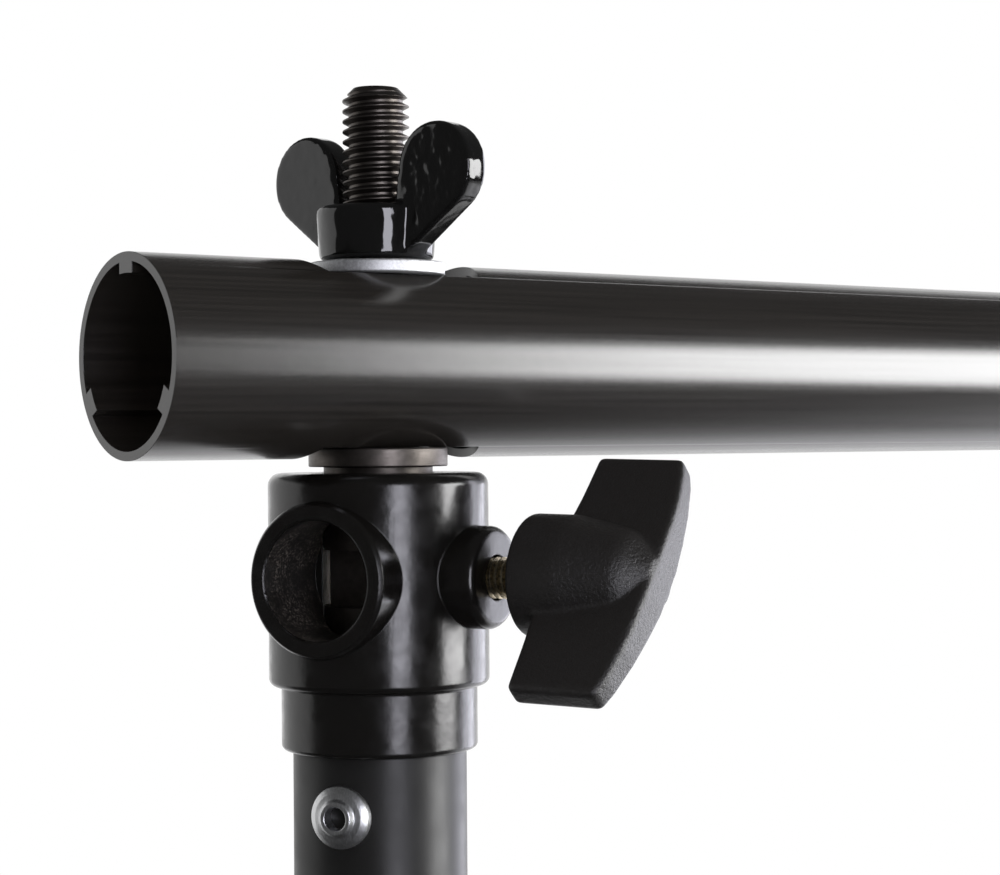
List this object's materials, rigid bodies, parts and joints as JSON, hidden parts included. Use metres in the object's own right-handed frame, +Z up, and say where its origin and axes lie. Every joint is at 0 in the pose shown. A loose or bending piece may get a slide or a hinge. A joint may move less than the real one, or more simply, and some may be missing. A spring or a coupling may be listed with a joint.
{
  "type": "backdrop stand",
  "caption": "Backdrop stand: folding tripod stands with telescoping columns and head spigots carry a telescoping crossbar held by wing nuts.",
  "frame": {"origin": "on the floor, midway between the two stands", "axes": "+X along the crossbar, +Z up"},
  "size_m": [2.3064, 0.885, 1.2793],
  "materials": {
    "gloss_black_paint": "gloss black paint on die casting",
    "black_anodised": "blasted, satin black anodised",
    "black_plastic": "finely textured moulding",
    "black_oxide": "turned, black oxide",
    "bright_zinc": "bright zinc plated",
    "yellow_zinc": "yellow zinc plated",
    "rivet_aluminium": "bright, drawn",
    "black_rubber": "moulded, matt"
  },
  "bodies": {
    "base_body_a": {"base_tube_a": "black_anodised", "foot_hub_a": "gloss_black_paint", "lower_collar_a": "gloss_black_paint"},
    "slider_body_a": {"leg_collar_a": "gloss_black_paint"},
    "mid_body_a": {"mid_tube_a": "black_anodised", "upper_collar_a": "gloss_black_paint"},
    "top_body_a": {"top_tube_a": "black_anodised", "top_tube_rivet_a": "rivet_aluminium", "head_casting_a": "gloss_black_paint", "spigot_stud_a": "black_oxide"},
    "head_knob_body_a": {"head_knob_a": "black_plastic", "head_lock_screw_a": "yellow_zinc"},
    "wing_nut_body_a": {"wing_nut_a": "gloss_black_paint"},
    "upper_knob_body_a": {"upper_collar_knob_a": "black_plastic"},
    "lower_knob_body_a": {"lower_collar_knob_a": "black_plastic"},
    "leg_knob_body_a": {"leg_collar_knob_a": "black_plastic"},
    "leg_body_1_a": {"leg_1_a": "black_anodised", "foot_1_a": "black_rubber"},
    "brace_body_1_a": {"brace_1_a": "black_anodised"},
    "leg_body_2_a": {"leg_2_a": "black_anodised", "foot_2_a": "black_rubber"},
    "brace_body_2_a": {"brace_2_a": "black_anodised"},
    "leg_body_3_a": {"leg_3_a": "black_anodised", "foot_3_a": "black_rubber"},
    "brace_body_3_a": {"brace_3_a": "black_anodised"},
    "base_body_b": {"base_tube_b": "black_anodised", "foot_hub_b": "gloss_black_paint", "lower_collar_b": "gloss_black_paint"},
    "slider_body_b": {"leg_collar_b": "gloss_black_paint"},
    "mid_body_b": {"mid_tube_b": "black_anodised", "upper_collar_b": "gloss_black_paint"},
    "top_body_b": {"top_tube_b": "black_anodised", "top_tube_rivet_b": "rivet_aluminium", "head_casting_b": "gloss_black_paint", "spigot_stud_b": "black_oxide"},
    "head_knob_body_b": {"head_knob_b": "black_plastic", "head_lock_screw_b": "yellow_zinc"},
    "wing_nut_body_b": {"wing_nut_b": "gloss_black_paint"},
    "upper_knob_body_b": {"upper_collar_knob_b": "black_plastic"},
    "lower_knob_body_b": {"lower_collar_knob_b": "black_plastic"},
    "leg_knob_body_b": {"leg_collar_knob_b": "black_plastic"},
    "leg_body_1_b": {"leg_1_b": "black_anodised", "foot_1_b": "black_rubber"},
    "brace_body_1_b": {"brace_1_b": "black_anodised"},
    "leg_body_2_b": {"leg_2_b": "black_anodised", "foot_2_b": "black_rubber"},
    "brace_body_2_b": {"brace_2_b": "black_anodised"},
    "leg_body_3_b": {"leg_3_b": "black_anodised", "foot_3_b": "black_rubber"},
    "brace_body_3_b": {"brace_3_b": "black_anodised"},
    "bar_left_body": {"crossbar_left": "black_anodised", "crossbar_left_collar": "gloss_black_paint", "washer_a": "bright_zinc"},
    "bar_right_body": {"crossbar_right": "black_anodised", "crossbar_right_collar": "gloss_black_paint", "washer_b": "bright_zinc"},
    "bar_inner_body": {"crossbar_inner": "black_anodised"},
    "bar_left_knob_body": {"crossbar_left_knob": "black_plastic"},
    "bar_right_knob_body": {"crossbar_right_knob": "black_plastic"}
  },
  "joints": [
    {"name": "leg_fold_a", "type": "slide", "parent": "base_body_a", "child": "slider_body_a", "axis": [0, 0, 1], "range_m": [0, 0.22824]},
    {"name": "leg_hinge_1_a", "type": "hinge", "parent": "slider_body_a", "child": "leg_body_1_a", "pos_m": [-0.681, 0, 0.274], "axis": [0, -1, 0], "range_deg": [0, 55.05]},
    {"name": "brace_hinge_1_a", "type": "hinge", "parent": "leg_body_1_a", "child": "brace_body_1_a", "pos_m": [-0.88019, 0, 0.159], "axis": [0, -1, 0], "range_deg": [-110.1, 0]},
    {"name": "leg_hinge_2_a", "type": "hinge", "parent": "slider_body_a", "child": "leg_body_2_a", "pos_m": [-0.6345, 0.02685, 0.274], "axis": [-0.866, 0.5, 0], "range_deg": [0, 55.05]},
    {"name": "brace_hinge_2_a", "type": "hinge", "parent": "leg_body_2_a", "child": "brace_body_2_a", "pos_m": [-0.53491, 0.19935, 0.159], "axis": [-0.866, 0.5, 0], "range_deg": [-110.1, 0]},
    {"name": "leg_hinge_3_a", "type": "hinge", "parent": "slider_body_a", "child": "leg_body_3_a", "pos_m": [-0.6345, -0.02685, 0.274], "axis": [0.866, 0.5, 0], "range_deg": [0, 55.05]},
    {"name": "brace_hinge_3_a", "type": "hinge", "parent": "leg_body_3_a", "child": "brace_body_3_a", "pos_m": [-0.53491, -0.19935, 0.159], "axis": [0.866, 0.5, 0], "range_deg": [-110.1, 0]},
    {"name": "leg_knob_turn_a", "type": "hinge", "parent": "slider_body_a", "child": "leg_knob_body_a", "pos_m": [-0.66625, -0.02815, 0.292], "axis": [-0.5, -0.866, 0], "continuous": true},
    {"name": "lower_knob_turn_a", "type": "hinge", "parent": "base_body_a", "child": "lower_knob_body_a", "pos_m": [-0.665, -0.02598, 0.778], "axis": [-0.5, -0.866, 0], "continuous": true},
    {"name": "upper_knob_turn_a", "type": "hinge", "parent": "mid_body_a", "child": "upper_knob_body_a", "pos_m": [-0.664, -0.02425, 1.026], "axis": [-0.5, -0.866, 0], "continuous": true},
    {"name": "head_knob_turn_a", "type": "hinge", "parent": "top_body_a", "child": "head_knob_body_a", "pos_m": [-0.63922, -0.02344, 1.208], "axis": [0.4179, -0.9085, 0], "continuous": true},
    {"name": "wing_nut_turn_a", "type": "hinge", "parent": "top_body_a", "child": "wing_nut_body_a", "pos_m": [-0.65, 0, 1.2547], "axis": [0, 0, 1], "continuous": true},
    {"name": "leg_fold_b", "type": "slide", "parent": "base_body_b", "child": "slider_body_b", "axis": [0, 0, 1], "range_m": [0, 0.22824]},
    {"name": "leg_hinge_1_b", "type": "hinge", "parent": "slider_body_b", "child": "leg_body_1_b", "pos_m": [0.681, 0, 0.274], "axis": [0, 1, 0], "range_deg": [0, 55.05]},
    {"name": "brace_hinge_1_b", "type": "hinge", "parent": "leg_body_1_b", "child": "brace_body_1_b", "pos_m": [0.88019, 0, 0.159], "axis": [0, 1, 0], "range_deg": [-110.1, 0]},
    {"name": "leg_hinge_2_b", "type": "hinge", "parent": "slider_body_b", "child": "leg_body_2_b", "pos_m": [0.6345, -0.02685, 0.274], "axis": [0.866, -0.5, 0], "range_deg": [0, 55.05]},
    {"name": "brace_hinge_2_b", "type": "hinge", "parent": "leg_body_2_b", "child": "brace_body_2_b", "pos_m": [0.53491, -0.19935, 0.159], "axis": [0.866, -0.5, 0], "range_deg": [-110.1, 0]},
    {"name": "leg_hinge_3_b", "type": "hinge", "parent": "slider_body_b", "child": "leg_body_3_b", "pos_m": [0.6345, 0.02685, 0.274], "axis": [-0.866, -0.5, 0], "range_deg": [0, 55.05]},
    {"name": "brace_hinge_3_b", "type": "hinge", "parent": "leg_body_3_b", "child": "brace_body_3_b", "pos_m": [0.53491, 0.19935, 0.159], "axis": [-0.866, -0.5, 0], "range_deg": [-110.1, 0]},
    {"name": "leg_knob_turn_b", "type": "hinge", "parent": "slider_body_b", "child": "leg_knob_body_b", "pos_m": [0.66625, 0.02815, 0.292], "axis": [0.5, 0.866, 0], "continuous": true},
    {"name": "lower_knob_turn_b", "type": "hinge", "parent": "base_body_b", "child": "lower_knob_body_b", "pos_m": [0.665, 0.02598, 0.778], "axis": [0.5, 0.866, 0], "continuous": true},
    {"name": "upper_knob_turn_b", "type": "hinge", "parent": "mid_body_b", "child": "upper_knob_body_b", "pos_m": [0.664, 0.02425, 1.026], "axis": [0.5, 0.866, 0], "continuous": true},
    {"name": "head_knob_turn_b", "type": "hinge", "parent": "top_body_b", "child": "head_knob_body_b", "pos_m": [0.63922, 0.02344, 1.208], "axis": [-0.4179, 0.9085, 0], "continuous": true},
    {"name": "wing_nut_turn_b", "type": "hinge", "parent": "top_body_b", "child": "wing_nut_body_b", "pos_m": [0.65, 0, 1.2547], "axis": [0, 0, 1], "continuous": true},
    {"name": "mid_slide_a", "type": "slide", "parent": "base_body_a", "child": "mid_body_a", "axis": [0, 0, 1], "range_m": [-0.195, 0.38]},
    {"name": "top_slide_a", "type": "slide", "parent": "mid_body_a", "child": "top_body_a", "axis": [0, 0, 1], "range_m": [-0.12, 0.45]},
    {"name": "bar_swivel_a", "type": "hinge", "parent": "top_body_a", "child": "bar_left_body", "pos_m": [-0.65, 0, 1.2394], "axis": [0, 0, 1], "range_deg": [-30, 30]},
    {"name": "bar_slide_left", "type": "slide", "parent": "bar_left_body", "child": "bar_inner_body", "axis": [1, 0, 0], "range_m": [-0.05, 0.35]},
    {"name": "bar_slide_right", "type": "slide", "parent": "bar_inner_body", "child": "bar_right_body", "axis": [1, 0, 0], "range_m": [-0.05, 0.35]},
    {"name": "bar_swivel_b", "type": "hinge", "parent": "bar_right_body", "child": "top_body_b", "pos_m": [0.65, 0, 1.2394], "axis": [0, 0, 1], "range_deg": [-30, 30]},
    {"name": "top_slide_b", "type": "slide", "parent": "top_body_b", "child": "mid_body_b", "axis": [0, 0, -1], "range_m": [-0.12, 0.45]},
    {"name": "mid_slide_b", "type": "slide", "parent": "mid_body_b", "child": "base_body_b", "axis": [0, 0, -1], "range_m": [-0.195, 0.38]},
    {"name": "bar_left_knob_turn", "type": "hinge", "parent": "bar_left_body", "child": "bar_left_knob_body", "pos_m": [-0.074, 0, 1.2133], "axis": [0, 0, -1], "continuous": true},
    {"name": "bar_right_knob_turn", "type": "hinge", "parent": "bar_right_body", "child": "bar_right_knob_body", "pos_m": [0.074, 0, 1.2133], "axis": [0, 0, -1], "continuous": true}
  ],
  "couplings": [
    {"joint": "leg_hinge_1_a", "follows": "leg_fold_a", "rad_per_m": 4.2058},
    {"joint": "brace_hinge_1_a", "follows": "leg_fold_a", "rad_per_m": -8.4116},
    {"joint": "leg_hinge_2_a", "follows": "leg_fold_a", "rad_per_m": 4.2058},
    {"joint": "brace_hinge_2_a", "follows": "leg_fold_a", "rad_per_m": -8.4116},
    {"joint": "leg_hinge_3_a", "follows": "leg_fold_a", "rad_per_m": 4.2058},
    {"joint": "brace_hinge_3_a", "follows": "leg_fold_a", "rad_per_m": -8.4116},
    {"joint": "leg_hinge_1_b", "follows": "leg_fold_b", "rad_per_m": 4.2058},
    {"joint": "brace_hinge_1_b", "follows": "leg_fold_b", "rad_per_m": -8.4116},
    {"joint": "leg_hinge_2_b", "follows": "leg_fold_b", "rad_per_m": 4.2058},
    {"joint": "brace_hinge_2_b", "follows": "leg_fold_b", "rad_per_m": -8.4116},
    {"joint": "leg_hinge_3_b", "follows": "leg_fold_b", "rad_per_m": 4.2058},
    {"joint": "brace_hinge_3_b", "follows": "leg_fold_b", "rad_per_m": -8.4116},
    {"joint": "top_slide_b", "follows": "top_slide_a", "ratio": 1},
    {"joint": "mid_slide_b", "follows": "mid_slide_a", "ratio": 1}
  ]
}
